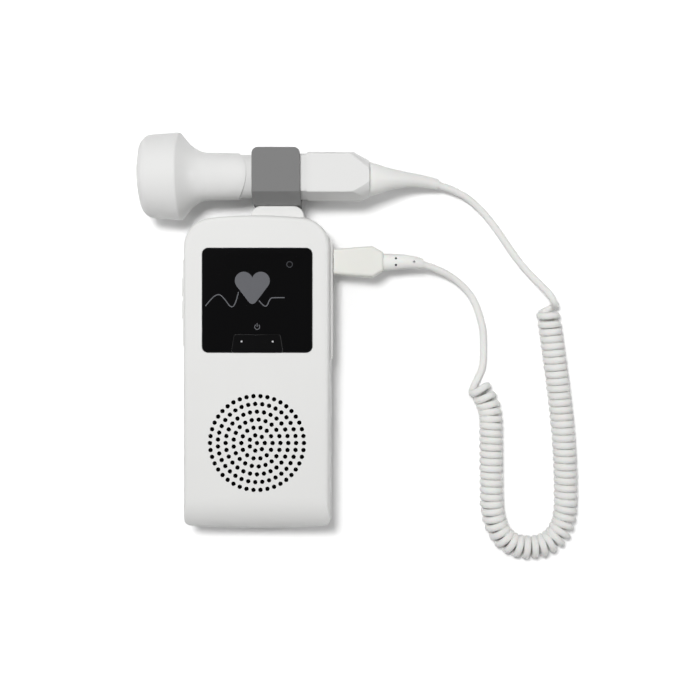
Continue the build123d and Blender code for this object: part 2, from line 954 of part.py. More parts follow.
def probe_socket():
    """Round socket for the lead's plug, with a contact post in its bore."""
    block_end = half_width - case_wall - board_lean - clip_slot_clearance
    half = socket_width / 2
    body = block(
        (block_end - socket_length, block_end),
        (socket_y - half, socket_y + half),
        (socket_z - socket_half_height, board_bottom),
    )
    body += bar(socket_y, socket_z, socket_nose_radius, block_end - cut_over, half_width + panel_rise)
    floor = plug_face - plug_barrel_length - plug_barrel_wall
    bore_radius = plug_barrel_radius + plug_fit
    post_radius = plug_barrel_radius - plug_barrel_wall - plug_fit
    body -= bar(socket_y, socket_z, bore_radius, floor, plug_face + cut_over)
    post = bar(socket_y, socket_z, post_radius, floor - cut_over, plug_face - 2 * plug_barrel_wall - plug_fit)
    for y, z in pin_places():
        post -= bar(y, z, 2 * pin_radius, floor + plug_barrel_wall, plug_face)
    return body + post


def earphone_jack():
    """Earphone jack under the board's left edge."""
    wall = -half_width + case_wall + board_lean + clip_slot_clearance
    half = jack_width / 2
    body = block((wall, wall + jack_length), (jack_y - half, jack_y + half), (jack_z - half, board_bottom))
    body += bar(jack_y, jack_z, jack_nose_radius, -half_width - panel_rise, wall + cut_over)
    return body - bar(jack_y, jack_z, jack_bore_radius, -half_width - cut_over, -half_width + jack_bore_depth)


# Probe clip


def clip_profile():
    """Side view of the clip: two jaws on a spine that follows the handle's flanks."""
    flat = probe_y - handle_flat_half - clip_play
    middle = probe_y - handle_middle_half - clip_play
    jaw = handle_half_depth + clip_play
    outer = jaw + clip_thickness
    front_tip = probe_y + clip_front_reach
    rear_tip = probe_y + clip_rear_reach
    bend = clip_thickness * 2
    points = [
        (front_tip, probe_z + outer), (flat, probe_z + outer), (clip_back, probe_z + bend),
        (clip_back, probe_z - 2 * bend), (flat, probe_z - outer), (rear_tip, probe_z - outer),
        (rear_tip, probe_z - jaw), (flat, probe_z - jaw), (middle, probe_z), (flat, probe_z + jaw),
        (front_tip, probe_z + jaw),
    ]
    return closed_face(points)


def probe_clip():
    """Grey clip that grips the probe's handle; its headed tongue is trapped in the neck."""
    left = neck_x - clip_width / 2
    profile = Plane(origin=(left, 0, 0), x_dir=(0, 1, 0), z_dir=(1, 0, 0)) * clip_profile()
    clip = extrude(profile, amount=clip_width)
    corners = clip.edges().filter_by(Axis.Z)
    front_corners = [edge for edge in corners if edge.center().Z > probe_z and edge.center().Y > probe_y]
    rear_corners = [edge for edge in corners if edge.center().Z < probe_z and edge.center().Y > probe_y]
    clip = fillet(front_corners + rear_corners, clip_corner)
    top = clip.faces().sort_by(Axis.Z)[-1]
    clip = fillet(top.edges(), least_radius)
    half_width_of_tongue = clip_tongue_width / 2
    head_half = half_width_of_tongue + clip_head_overhang
    half_height = clip_tongue_height / 2
    head_face = half_length - case_wall - 2 * least_radius
    z_range = (parting_height - half_height, parting_height + half_height)
    clip += block((neck_x - half_width_of_tongue, neck_x + half_width_of_tongue),
                  (head_face - clip_head_thickness, clip_back + cut_over), z_range)
    clip += block((neck_x - head_half, neck_x + head_half),
                  (head_face - clip_head_thickness, head_face), z_range)
    return clip


# Probe


def turned(outline):
    """Solid turned about the probe's axis from an outline of (along, radius)."""
    return Pos(0, probe_y, probe_z) * revolve(Plane.XZ * outline, axis=Axis.X)


def probe_face():
    """Slightly domed face that is laid on the skin."""
    rim = face_front + face_sagitta
    back = rim + face_thickness
    dome = ThreePointArc((face_front, 0), (face_front + face_sagitta / 4, face_radius / 2), (rim, face_radius))
    rest = Polyline(dome @ 1, (back, face_radius), (back, 0), dome @ 0)
    return turned(make_face([dome, rest]))


def probe_head():
    """Ring-shaped head: rounded front lip, face seat and a slightly tapered skirt."""
    rim = face_front + face_sagitta
    seat = rim + face_thickness
    third = (head_side_start - rim) / 3
    lip = Bezier(
        (rim, face_radius + face_clearance),
        (rim + third, head_front_radius - head_lip_drop),
        (rim + 2 * third, head_front_radius - head_lip_drop / 4),
        (head_side_start, head_front_radius),
    )
    rest = Polyline(
        lip @ 1,
        (head_ridge, head_radius),
        (head_back, head_radius - head_edge_step),
        (head_back, head_radius - head_wall),
        (head_side_start, head_front_radius - head_wall),
        (seat + face_seat_width, face_radius + face_clearance),
        (seat + face_seat_width, face_radius - face_seat_width),
        (seat, face_radius - face_seat_width),
        (seat, face_radius + face_clearance),
        lip @ 0,
    )
    return turned(make_face([lip, rest]))


def flare_form(inset):
    """Round part of the handle, flared out to meet the head."""
    curve = Bezier(
        (head_back, flare_start_radius - inset),
        (head_back + flare_start_run, flare_start_radius - flare_start_drop - inset),
        (flare_end - flare_end_run, neck_radius + flare_end_rise - inset),
        (flare_end, neck_radius - inset),
    )
    return turned(make_face([curve, Polyline(curve @ 1, (flare_end, 0), (head_back, 0), curve @ 0)]))


def neck_form(inset):
    """Round neck that ends in an arc, and the shallower round part behind it."""
    tip_radius = neck_tip_radius - inset
    neck_part = turned(closed_face([
        (flare_end, 0), (flare_end, neck_radius - inset), (neck_tip, tip_radius), (neck_tip, 0),
    ]))
    arc_middle = neck_tip - neck_arc_radius
    arc = peg(arc_middle, probe_y, neck_arc_radius - inset, probe_z - head_radius, probe_z + head_radius)
    recess = bar(probe_y, probe_z, recess_radius - inset, recess_start, waist_start + cut_over)
    return (neck_part & arc) + recess


def six_sided(inset, left, right):
    """Six-sided bar: flat front and back, and flanks that are widest halfway."""
    corners = [
        (handle_flat_half, handle_half_depth), (handle_middle_half, 0), (handle_flat_half, -handle_half_depth),
        (-handle_flat_half, -handle_half_depth), (-handle_middle_half, 0), (-handle_flat_half, handle_half_depth),
    ]
    shape = closed_face(corners)
    if inset > 0:
        shape = offset(shape, amount=-inset, kind=Kind.INTERSECTION)
    sides = shape.vertices().filter_by(lambda corner: abs(corner.Y) < handle_half_depth / 2)
    shape = fillet(sides, handle_side_radius)
    edges = shape.vertices().filter_by(lambda corner: abs(corner.Y) > handle_half_depth / 2)
    shape = fillet(edges, handle_front_radius)
    plane = Plane(origin=(left, probe_y, probe_z), x_dir=(0, 1, 0), z_dir=(1, 0, 0))
    return extrude(plane * shape, amount=right - left)


def handle_end_form(inset):
    """Last part of the six-sided bar, narrowed and rounded towards the lead."""
    outer = [
        (handle_round_start, 0, handle_round_side, handle_round_depth),
        (handle_end, boot_side_shift, handle_end_side, handle_end_depth),
    ]
    sections = []
    for x, shift, side, depth in outer:
        plane = Plane(origin=(x, probe_y - shift, probe_z), x_dir=(0, 1, 0), z_dir=(1, 0, 0))
        sections.append(plane * Ellipse(side - inset, depth - inset))
    end = handle_end if inset == 0 else handle_end - handle_end_wall
    return six_sided(inset, handle_round_start, end) & loft(sections)


def handle_form(inset):
    """Whole handle as a full body, drawn in by the inset."""
    waist = six_sided(inset + waist_depth, waist_start, waist_end + cut_over)
    grip = six_sided(inset, waist_end, handle_round_start)
    return flare_form(inset) + neck_form(inset) + waist + grip + handle_end_form(inset)


def spigot():
    """Ring on the handle's front end that the head is pressed onto."""
    outer = head_radius - head_wall - spigot_clearance
    front = head_back - spigot_length
    back = head_back + 2 * head_wall
    return turned(closed_face([
        (front, outer - spigot_wall), (front, outer), (head_back, outer), (back, outer - 2 * spigot_wall),
        (back, outer - 3 * spigot_wall),
    ]))


def handle_half(front):
    """One half of the hollow handle, split at the probe's axis."""
    shell = handle_form(0) - handle_form(probe_wall) + spigot()
    seam = handle_form(0) - handle_form(handle_seam_depth)
    shell -= seam & block(
        (head_back + cut_over, handle_end - 2 * handle_end_wall), (probe_y - head_radius, probe_y + head_radius),
        (probe_z - handle_seam_height / 2, probe_z + handle_seam_height / 2),
    )
    shell -= bar(probe_y, probe_z, boot_neck_radius + boot_neck_clearance,
                 handle_end - 2 * handle_end_wall, handle_end + cut_over)
    reach = unit_length
    z_range = (probe_z, probe_z + reach) if front else (probe_z - reach, probe_z)
    half = shell & block((-reach, reach), (probe_y - reach, probe_y + reach), z_range)
    if not front:
        for x in (probe_board_low + rib_inset, probe_board_high - rib_inset):
            rib = block((x - rib_width / 2, x + rib_width / 2), (probe_y - reach, probe_y + reach),
                        (probe_z - handle_half_depth, probe_z - probe_board_thickness / 2))
            half += rib & handle_form(probe_wall / 2)
    return half


def probe_handle_front():
    """Front half of the handle."""
    return handle_half(True)


def probe_handle_rear():
    """Rear half of the handle, with two ribs for the board."""
    return handle_half(False)


def crystals():
    """Sending and receiving half-discs on the back of the face."""
    back = face_front + face_sagitta + face_thickness
    disc = bar(probe_y, probe_z, crystal_radius, back, back + crystal_thickness)
    reach = 2 * crystal_radius
    x_range = (back - cut_over, back + 2 * cut_over)
    y_range = (probe_y - reach, probe_y + reach)
    upper = disc & block(x_range, y_range, (probe_z + crystal_gap / 2, probe_z + reach))
    lower = disc & block(x_range, y_range, (probe_z - reach, probe_z - crystal_gap / 2))
    return group([upper, lower])


def crystal_backing():
    """Damping disc behind the crystals."""
    front = face_front + face_sagitta + face_thickness + crystal_thickness
    return bar(probe_y, probe_z, backing_radius, front, front + backing_thickness)


def probe_board():
    """Small board in the handle, on the two ribs."""
    half = probe_board_half_width
    low = probe_z - probe_board_thickness / 2
    return block((probe_board_low, probe_board_high), (probe_y - half, probe_y + half),
                 (low, low + probe_board_thickness))


# Lead: strain reliefs, plug, straight tails and curly part


def bent_taper(start, start_way, end, end_way, radii):
    """Round taper along a bend between two places, through evenly spaced circles."""
    stretch = (end - start).length
    first = start_way.normalized() * stretch
    last = end_way.normalized() * stretch
    sections = []
    for step, radius in enumerate(radii):
        t = step / (len(radii) - 1)
        place = (start * (2 * t**3 - 3 * t**2 + 1) + first * (t**3 - 2 * t**2 + t)
                 + end * (3 * t**2 - 2 * t**3) + last * (t**3 - t**2))
        way = (start * (6 * t**2 - 6 * t) + first * (3 * t**2 - 4 * t + 1)
               + end * (6 * t - 6 * t**2) + last * (3 * t**2 - 2 * t))
        sections.append(Plane(origin=place, z_dir=way) * Circle(radius))
    return loft(sections)


def corner_radii(points):
    """Arc radius at each inner point of a route, from its turn and its shorter run."""
    radii = []
    for before, here, after in zip(points, points[1:], points[2:]):
        turn = radians((here - before).get_angle(after - here))
        radii.append(corner_share * min((here - before).length, (after - here).length) / tan(turn / 2))
    return radii


def round_sweep(points, radii, radius):
    """Round bar along straight runs joined by tangent arcs."""
    path = FilletPolyline(*points, radius=radii)
    return sweep(Plane(origin=path @ 0, z_dir=path % 0) * Circle(radius), path=path)


def probe_strain_relief():
    """Long soft taper on the handle's end, held by a collar inside."""
    start = Vector(handle_end, probe_y - boot_side_shift, probe_z)
    boot = bent_taper(start, Vector(1, 0, 0), probe_tail[0], probe_tail[1] - probe_tail[0], probe_boot_radii)
    inside = handle_end - handle_end_wall - boot_collar_thickness
    boot += bar(probe_y, probe_z, boot_neck_radius, inside, handle_end)
    return boot + bar(probe_y, probe_z, boot_collar_radius, inside, inside + boot_collar_thickness)


def plug_body():
    """Moulded plug: flat grip that widens backwards and slopes in to its strain relief."""
    root = plug_root_width / 2
    wide = plug_width / 2
    neck_half = plug_neck_width / 2
    shoulder = plug_face + plug_flare_length
    back = shoulder + plug_shoulder_length
    points = [
        (plug_face, socket_y - root), (shoulder, socket_y - wide), (back, socket_y - neck_half),
        (back, socket_y + neck_half), (shoulder, socket_y + wide), (plug_face, socket_y + root),
    ]
    half = plug_thickness / 2
    grip = upright(closed_face(points), socket_z - half, socket_z + half)
    ends = grip.edges().filter_by(Axis.Z).group_by(Axis.X)[1]
    grip = fillet(ends, plug_edge_radius)
    rims = grip.faces().sort_by(Axis.Z)[-1].edges() + grip.faces().sort_by(Axis.Z)[0].edges()
    return fillet([rim for rim in rims if rim.center().X > plug_face + plug_gap], plug_edge_radius)


def plug_barrel():
    """Metal sleeve of the plug."""
    tip = plug_face - plug_barrel_length
    sleeve = bar(socket_y, socket_z, plug_barrel_radius, tip, plug_face)
    return sleeve - bar(socket_y, socket_z, plug_barrel_radius - plug_barrel_wall,
                        tip - cut_over, plug_face + cut_over)


def pin_places():
    """Y and Z of the plug's pins."""
    return [
        (socket_y + pin_circle * cos(2 * pi * (pin + 0.5) / pin_count),
         socket_z + pin_circle * sin(2 * pi * (pin + 0.5) / pin_count))
        for pin in range(pin_count)
    ]


def plug_pins():
    """Contact pins of the plug and the plate that carries them."""
    radius = plug_barrel_radius - plug_barrel_wall
    pins = bar(socket_y, socket_z, radius, plug_face - plug_barrel_wall, plug_face)
    for y, z in pin_places():
        pins += bar(y, z, pin_radius, plug_face - pin_length, plug_face)
    return pins


def plug_strain_relief():
    """Tapered strain relief of the plug, with small dimples on its front and back."""
    start = Vector(plug_face + plug_flare_length + plug_shoulder_length, socket_y, socket_z)
    boot = bent_taper(start, Vector(1, 0, 0), plug_tail[0], plug_tail[1] - plug_tail[0], plug_boot_radii)
    near = plug_boot_radii[1]
    far = (plug_boot_radii[2] + plug_boot_radii[3]) / 2
    places = [(dimple_near, -dimple_spread, near), (dimple_near, dimple_spread, near), (dimple_far, 0, far)]
    for along, aside, radius in places:
        x = start.X + along
        depth = socket_z + radius - dimple_depth
        boot -= peg(x, socket_y + aside, dimple_radius, depth, depth + 4 * dimple_depth)
    return boot


def probe_cord_tail():
    """Straight end of the lead, from the probe to the curly part."""
    return round_sweep(probe_tail, corner_radii(probe_tail), cord_radius)


def plug_cord_tail():
    """Straight end of the lead, from the plug to the curly part."""
    return round_sweep(plug_tail, corner_radii(plug_tail), cord_radius)


def curly_cord():
    """Outer shape of the curly part, folded into a U on the resting surface."""
    radii = [min(radius, coil_largest_radius) for radius in corner_radii(coil_route)]
    radii[2] = coil_bend_radius
    radii[3] = coil_bend_radius
    return round_sweep(coil_route, radii, coil_radius)


pieces = {
    "front_cover": front_cover,
    "rear_cover": rear_cover,
    "battery_door": battery_door,
    "display_window": display_window,
    "power_button": power_button,
    "volume_up_key": lambda: volume_key(key_places()[0]),
    "volume_down_key": lambda: volume_key(key_places()[1]),
    "main_board": main_board,
    "board_chips": board_chips,
    "tact_switches": tact_switches,
    "display_module": display_module,
    "indicator_led": indicator_led,
    "dust_screen": dust_screen,
    "speaker_gasket": speaker_gasket,
    "speaker_frame": speaker_frame,
    "speaker_cone": speaker_cone,
    "speaker_magnet": speaker_magnet,
    "case_screws": case_screws,
    "board_screws": board_screws,
    "left_battery": lambda: cell(-1),
    "right_battery": lambda: cell(1),
    "battery_contacts": battery_contacts,
    "left_battery_spring": lambda: battery_spring(-1),
    "right_battery_spring": lambda: battery_spring(1),
    "probe_socket": probe_socket,
    "earphone_jack": earphone_jack,
    "probe_clip": probe_clip,
    "probe_face": probe_face,
    "probe_head": probe_head,
    "probe_handle_front": probe_handle_front,
    "probe_handle_rear": probe_handle_rear,
    "crystals": crystals,
    "crystal_backing": crystal_backing,
    "probe_board": probe_board,
    "probe_strain_relief": probe_strain_relief,
    "plug_body": plug_body,
    "plug_barrel": plug_barrel,
    "plug_pins": plug_pins,
    "plug_strain_relief": plug_strain_relief,
    "probe_cord_tail": probe_cord_tail,
    "plug_cord_tail": plug_cord_tail,
    "curly_cord": curly_cord,
}

os.makedirs("parts", exist_ok=True)
for name, make in pieces.items():
    export_step(make(), f"parts/{name}.step")
print("probe tail radii", [round(radius, 1) for radius in corner_radii(probe_tail)])
print("plug tail radii", [round(radius, 1) for radius in corner_radii(plug_tail)])
print("coil radii", [round(radius, 1) for radius in corner_radii(coil_route)])
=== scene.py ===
import math

import bmesh
import bpy
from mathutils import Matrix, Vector


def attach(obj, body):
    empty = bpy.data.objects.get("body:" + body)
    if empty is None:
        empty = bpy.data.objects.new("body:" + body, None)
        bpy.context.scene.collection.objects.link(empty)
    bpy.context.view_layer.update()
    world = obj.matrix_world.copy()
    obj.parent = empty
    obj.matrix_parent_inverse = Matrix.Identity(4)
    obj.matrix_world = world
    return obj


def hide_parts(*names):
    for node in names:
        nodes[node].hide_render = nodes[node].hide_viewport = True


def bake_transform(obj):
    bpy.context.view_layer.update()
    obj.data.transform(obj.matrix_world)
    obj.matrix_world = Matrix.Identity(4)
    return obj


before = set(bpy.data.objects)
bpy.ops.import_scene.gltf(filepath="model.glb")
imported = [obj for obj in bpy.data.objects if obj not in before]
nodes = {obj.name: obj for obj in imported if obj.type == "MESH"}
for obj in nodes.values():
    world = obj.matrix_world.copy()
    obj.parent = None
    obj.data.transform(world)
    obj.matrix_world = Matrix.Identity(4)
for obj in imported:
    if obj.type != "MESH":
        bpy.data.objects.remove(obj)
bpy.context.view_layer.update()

print("frame loaded")

# The camera looks straight down on the table, from a little right of the unit.
camera = {"place": (0.0452, 0.0109, 0.5), "lens": 50.09, "sensor": 36.0, "nearest": 0.01}

cameraData = bpy.data.cameras.new("camera")
cameraData.lens = camera["lens"]
cameraData.sensor_width = camera["sensor"]
cameraData.clip_start = camera["nearest"]
cameraObject = bpy.data.objects.new("camera", cameraData)
cameraObject.location = camera["place"]
bpy.context.scene.collection.objects.link(cameraObject)
bpy.context.scene.camera = cameraObject
print("camera made")


def linear(code):
    # sRGB hex to the linear colour that shaders work in
    parts = [int(code[i:i + 2], 16) / 255 for i in (1, 3, 5)]
    return [part / 12.92 if part <= 0.04045 else ((part + 0.055) / 1.055) ** 2.4 for part in parts] + [1.0]


def addNode(tree, kind, settings=None, links=None):
    # one shader node with its settings and what feeds it
    node = tree.nodes.new(kind)
    for name, value in (settings or {}).items():
        if isinstance(name, str) and hasattr(node, name):
            setattr(node, name, value)
        else:
            node.inputs[name].default_value = value
    for name, source in (links or {}).items():
        tree.links.new(source, node.inputs[name])
    return node


def newMaterial(name):
    material = bpy.data.materials.new(name)
    material.use_nodes = True
    material.node_tree.nodes.clear()
    return material, material.node_tree


def addPiece(name, mesh, body, smooth=True):
    # a finished mesh becomes a piece that rides on its body
    for face in mesh.polygons:
        face.use_smooth = smooth
    piece = bpy.data.objects.new(name, mesh)
    bpy.context.scene.collection.objects.link(piece)
    if body:
        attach(piece, body)
    return piece


# Lead: one cord from the probe's strain relief, through the curly part, to the plug's. Lengths in metres.
lead = {
    "diameter": 0.0036,
    "length": 1.75,
    "turns": 60,
    "pointsPerTurn": 12,
    "helixRadius": 0.0042,
    "phase": -math.pi,
    "lean": 0.8,  # how much of its way a turn gains underneath
    "looseTurns": 2.5,  # turns at each end that open up, and by how much
    "loosePitch": 1.5,
    "bendTurn": 35.5,  # turn at the foot of the U, and the turns each side that spread round it
    "bendSpan": 9,
    "bendPitch": 0.14,
    "wobble": 0.02,  # share by which turns differ in width, and how fast that comes and goes
    "wobbleRate": 2.39,
    "guideSteps": 24,
    "lineSteps": 3,
    "sectionSteps": 3,
    "stretchFrom": (0.0445, 0.0771, 0.0),
    "stretchTo": (0.0620, 0.1074, 0.0),
    "probeTail": [
        (0.0888, 0.0944, 0.0093), (0.1017, 0.0915, 0.0046), (0.1131, 0.0816, 0.00195),
        (0.1201, 0.0728, 0.00185), (0.1268, 0.0626, 0.00185), (0.1337, 0.0531, 0.0024),
        (0.1402, 0.0455, 0.0056), (0.1445, 0.0405, 0.0092), (0.1464, 0.0378, 0.0104),
        (0.1477, 0.0352, 0.0102), (0.1489, 0.0338, 0.0084),
    ],
    "plugTail": [
        (0.0806, 0.0540, 0.0130), (0.0889, 0.0519, 0.0090), (0.0977, 0.0477, 0.0048),
        (0.1043, 0.0422, 0.0022), (0.1085, 0.0366, 0.00185), (0.1112, 0.0291, 0.00185),
        (0.1131, 0.0220, 0.00185), (0.1134, 0.0151, 0.00185), (0.1134, 0.0075, 0.00185),
        (0.1130, 0.0020, 0.00185), (0.1110, -0.0025, 0.00185), (0.1090, -0.0065, 0.00185),
        (0.1079, -0.0090, 0.00235), (0.10725, -0.0107, 0.0040),
    ],
    "coilRoute": [
        (0.1450, 0.0328, 0.00605), (0.1496, 0.0029, 0.00605), (0.1546, -0.0420, 0.00605),
        (0.1544, -0.0890, 0.00605), (0.1172, -0.0890, 0.00605), (0.1166, -0.0362, 0.00605),
        (0.1167, -0.0165, 0.00605), (0.1106, -0.0085, 0.00605),
    ],
}


def smoothCurve(name, points, resolution):
    # open NURBS spline of order 3 that starts and ends on its end points
    curve = bpy.data.curves.new(name, "CURVE")
    curve.dimensions = "3D"
    curve.resolution_u = resolution
    spline = curve.splines.new("NURBS")
    spline.points.add(len(points) - 1)
    for point, place in zip(spline.points, points):
        point.co = (*place, 1)
    spline.order_u = 3
    spline.use_endpoint_u = True
    return curve


def curveMesh(curve):
    # what Blender makes of the curve, without leaving an object behind
    holder = bpy.data.objects.new("holder", curve)
    mesh = bpy.data.meshes.new_from_object(holder)
    bpy.data.objects.remove(holder)
    return mesh


def curveLine(curve):
    # the points of the curve's own line
    mesh = curveMesh(curve)
    line = [vertex.co.copy() for vertex in mesh.vertices]
    bpy.data.meshes.remove(mesh)
    return line


def curveTube(name, curve, radius, steps):
    # the same line with a round section, as a mesh
    curve.bevel_depth = radius
    curve.bevel_resolution = steps
    curve.use_fill_caps = True
    mesh = curveMesh(curve)
    mesh.name = name
    bpy.data.curves.remove(curve)
    return mesh


def helixAngle(turn):
    return lead["phase"] + 2 * math.pi * turn


def helixWidth(turn):
    # how far along the coil one step goes: more in the loose ends and round the bend
    fromEnd = min(turn, lead["turns"] - turn) / lead["looseTurns"]
    fromBend = abs(turn - lead["bendTurn"]) / lead["bendSpan"]
    loose = (lead["loosePitch"] - 1) * max(0.0, 1 - fromEnd)
    spread = lead["bendPitch"] * max(0.0, 1 - fromBend)
    # a resting coil leans, so that a turn gains its way underneath and lies square on top
    return (1 + loose + spread) * (1 - lead["lean"] * math.sin(helixAngle(turn)))


def helixPoints(guide):
    # turns about the coil's line, set out by distance along it
    steps = [0.0]
    for before, after in zip(guide, guide[1:]):
        steps.append(steps[-1] + (after - before).length)
    turns = [index / lead["pointsPerTurn"] for index in range(lead["turns"] * lead["pointsPerTurn"] + 1)]
    widths = [helixWidth(turn) for turn in turns]
    total = sum(widths[:-1])
    # a quadratic spline runs inside its control points, so they stand further out
    inside = 0.75 + 0.25 * math.cos(2 * math.pi / lead["pointsPerTurn"])
    radius = lead["helixRadius"] / inside
    points, travelled, here = [], 0.0, 0
    for turn, width in zip(turns, widths):
        distance = travelled / total * steps[-1]
        while here < len(steps) - 2 and steps[here + 1] < distance:
            here += 1
        run = (guide[here + 1] - guide[here]).normalized()
        centre = guide[here] + run * (distance - steps[here])
        side = run.cross(Vector((0, 0, 1))).normalized()
        angle = helixAngle(turn)
        reach = radius * (1 - lead["wobble"] * (0.5 + 0.5 * math.sin(lead["wobbleRate"] * turn)))
        rise = Vector((0, 0, 1)) * math.sin(angle) * radius
        points.append(centre + side * math.cos(angle) * reach + rise)
        travelled += width
    return points


probeTail = [Vector(place) for place in lead["probeTail"]]
plugTail = [Vector(place) for place in lead["plugTail"]]
coilGuide = curveLine(smoothCurve("coilGuide", lead["coilRoute"], lead["guideSteps"]))
leadCurve = smoothCurve("leadLine", probeTail + helixPoints(coilGuide) + plugTail[::-1], lead["lineSteps"])
leadLine = curveLine(leadCurve)
print("lead length", round(sum((after - before).length for before, after in zip(leadLine, leadLine[1:])), 4))
leadMesh = curveTube("curlyLead", leadCurve, lead["diameter"] / 2, lead["sectionSteps"])
leadPiece = addPiece("curlyLead", leadMesh, None)
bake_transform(leadPiece)
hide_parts("probe_cord_tail", "curly_cord", "plug_cord_tail")
print("lead made")


# Finishes. Lengths are in metres; a grain too fine to show is drawn as coarse as it needs to be.
texture = {
    "mouldedRange": (0.35, 0.65),  # part of a noise's values that sets the gloss
    "polishedRange": (0.3, 0.7),
    "cloudDetail": 3.0,
    "smearDetail": 4.0,
    "grainDetail": 2.0,
    "metalDetail": 3.0,
    "metalBump": 0.2,
    "metalHeight": 0.00001,
    "glowDepth": 0.001,
}


def mouldedFinish(name, values):
    # moulded plastic or rubber: a faint cloud in the colour, uneven gloss and a fine tool grain
    material, tree = newMaterial(name)
    place = addNode(tree, "ShaderNodeTexCoord").outputs["Object"]
    cloud = addNode(tree, "ShaderNodeTexNoise", {
        "Scale": 1 / values["cloud"], "Detail": texture["cloudDetail"]}, {"Vector": place})
    colour = addNode(tree, "ShaderNodeMix", {
        "data_type": "RGBA", 6: linear(values["colour"]), 7: linear(values["shade"])}, {0: cloud.outputs[0]})
    smear = addNode(tree, "ShaderNodeTexNoise", {
        "Scale": 1 / values["smear"], "Detail": texture["smearDetail"]}, {"Vector": place})
    gloss = addNode(tree, "ShaderNodeMapRange", {
        "From Min": texture["mouldedRange"][0], "From Max": texture["mouldedRange"][1],
        "To Min": values["roughness"][0], "To Max": values["roughness"][1]}, {"Value": smear.outputs[0]})
    grain = addNode(tree, "ShaderNodeTexNoise", {
        "Scale": 1 / values["grain"], "Detail": texture["grainDetail"]}, {"Vector": place})
    bump = addNode(tree, "ShaderNodeBump", {
        "Strength": values["bump"], "Distance": values["height"]}, {"Height": grain.outputs[0]})
    shader = addNode(tree, "ShaderNodeBsdfPrincipled", {
        "IOR": values["ior"], "Coat Weight": values.get("coat", 0.0),
        "Coat Roughness": values.get("coatRough", 0.1), "Subsurface Weight": values.get("glow", 0.0),
        "Subsurface Scale": texture["glowDepth"]},
        {"Base Color": colour.outputs[2], "Roughness": gloss.outputs[0], "Normal": bump.outputs[0]})
    addNode(tree, "ShaderNodeOutputMaterial", {}, {"Surface": shader.outputs[0]})
    return material


def metalFinish(name, values):
    # plated or rolled metal: uneven gloss and a fine drawn grain
    material, tree = newMaterial(name)
    place = addNode(tree, "ShaderNodeTexCoord").outputs["Object"]
    stretch = addNode(tree, "ShaderNodeMapping", {"Scale": values["direction"]}, {"Vector": place})
    grain = addNode(tree, "ShaderNodeTexNoise", {
        "Scale": 1 / values["grain"], "Detail": texture["metalDetail"]}, {"Vector": stretch.outputs[0]})
    gloss = addNode(tree, "ShaderNodeMapRange", {
        "From Min": texture["polishedRange"][0], "From Max": texture["polishedRange"][1],
        "To Min": values["roughness"][0], "To Max": values["roughness"][1]}, {"Value": grain.outputs[0]})
    colour = addNode(tree, "ShaderNodeMix", {
        "data_type": "RGBA", 6: linear(values["colour"]), 7: linear(values["shade"])}, {0: grain.outputs[0]})
    bump = addNode(tree, "ShaderNodeBump", {
        "Strength": texture["metalBump"], "Distance": texture["metalHeight"]}, {"Height": grain.outputs[0]})
    shader = addNode(tree, "ShaderNodeBsdfPrincipled", {"Metallic": 1.0}, {
        "Base Color": colour.outputs[2], "Roughness": gloss.outputs[0], "Normal": bump.outputs[0]})
    addNode(tree, "ShaderNodeOutputMaterial", {}, {"Surface": shader.outputs[0]})
    return material


# ABS shell from a spark-eroded tool: even white with a soft sheen, the grain only just seen
shellAbs = {"colour": "#EDEDEC", "shade": "#EAEAE8", "cloud": 0.03, "roughness": (0.34, 0.42), "smear": 0.006,
            "grain": 0.0004, "bump": 0.12, "height": 0.00002, "ior": 1.53}
# Polished ABS of the probe: a little glossier than the shell, with sharper highlights
probeAbs = {"colour": "#EBEBEA", "shade": "#E9E9E8", "cloud": 0.03, "roughness": (0.32, 0.36), "smear": 0.012,
            "grain": 0.0005, "bump": 0.06, "height": 0.00002, "ior": 1.53}
# Face of the probe, cast in a harder white resin: smooth and slightly creamy
faceResin = {"colour": "#E6E5E0", "shade": "#E0DED8", "cloud": 0.02, "roughness": (0.2, 0.28), "smear": 0.006,
             "grain": 0.0005, "bump": 0.05, "height": 0.00002, "ior": 1.5}
# Mid-grey ABS of the clip: matt, with a grain that breaks up the light
clipAbs = {"colour": "#818181", "shade": "#7F7F7F", "cloud": 0.02, "roughness": (0.48, 0.6), "smear": 0.005,
           "grain": 0.0004, "bump": 0.25, "height": 0.00003, "ior": 1.53}
# Black ABS of the power button: near the lens in tone but satin, so that it reads apart
buttonAbs = {"colour": "#0B0B0C", "shade": "#0E0E0F", "cloud": 0.01, "roughness": (0.1, 0.16), "smear": 0.004,
             "grain": 0.0004, "bump": 0.12, "height": 0.00002, "ior": 1.53}
# Polyurethane jacket of the lead: satin off-white with a soft inner glow
jacket = {"colour": "#F6F6F4", "shade": "#F2F2EF", "cloud": 0.012, "roughness": (0.34, 0.44), "smear": 0.004,
          "grain": 0.0005, "bump": 0.15, "height": 0.00003, "ior": 1.5, "glow": 0.08}
# Overmoulded plug grip: same compound as the jacket, a bit drier
overmould = {"colour": "#F0F0EB", "shade": "#EBEBE5", "cloud": 0.012, "roughness": (0.4, 0.5), "smear": 0.004,
             "grain": 0.0005, "bump": 0.2, "height": 0.00003, "ior": 1.5, "glow": 0.05}
# Glass-filled nylon of connectors, switches and chips: dull black
nylon = {"colour": "#1B1B1C", "shade": "#242426", "cloud": 0.004, "roughness": (0.5, 0.65), "smear": 0.002,
         "grain": 0.0003, "bump": 0.3, "height": 0.00003, "ior": 1.53}
# Closed-cell foam: soft black with small cells
foam = {"colour": "#1A1A1A", "shade": "#262626", "cloud": 0.003, "roughness": (0.85, 0.95), "smear": 0.002,
        "grain": 0.0006, "bump": 0.8, "height": 0.0002, "ior": 1.45}
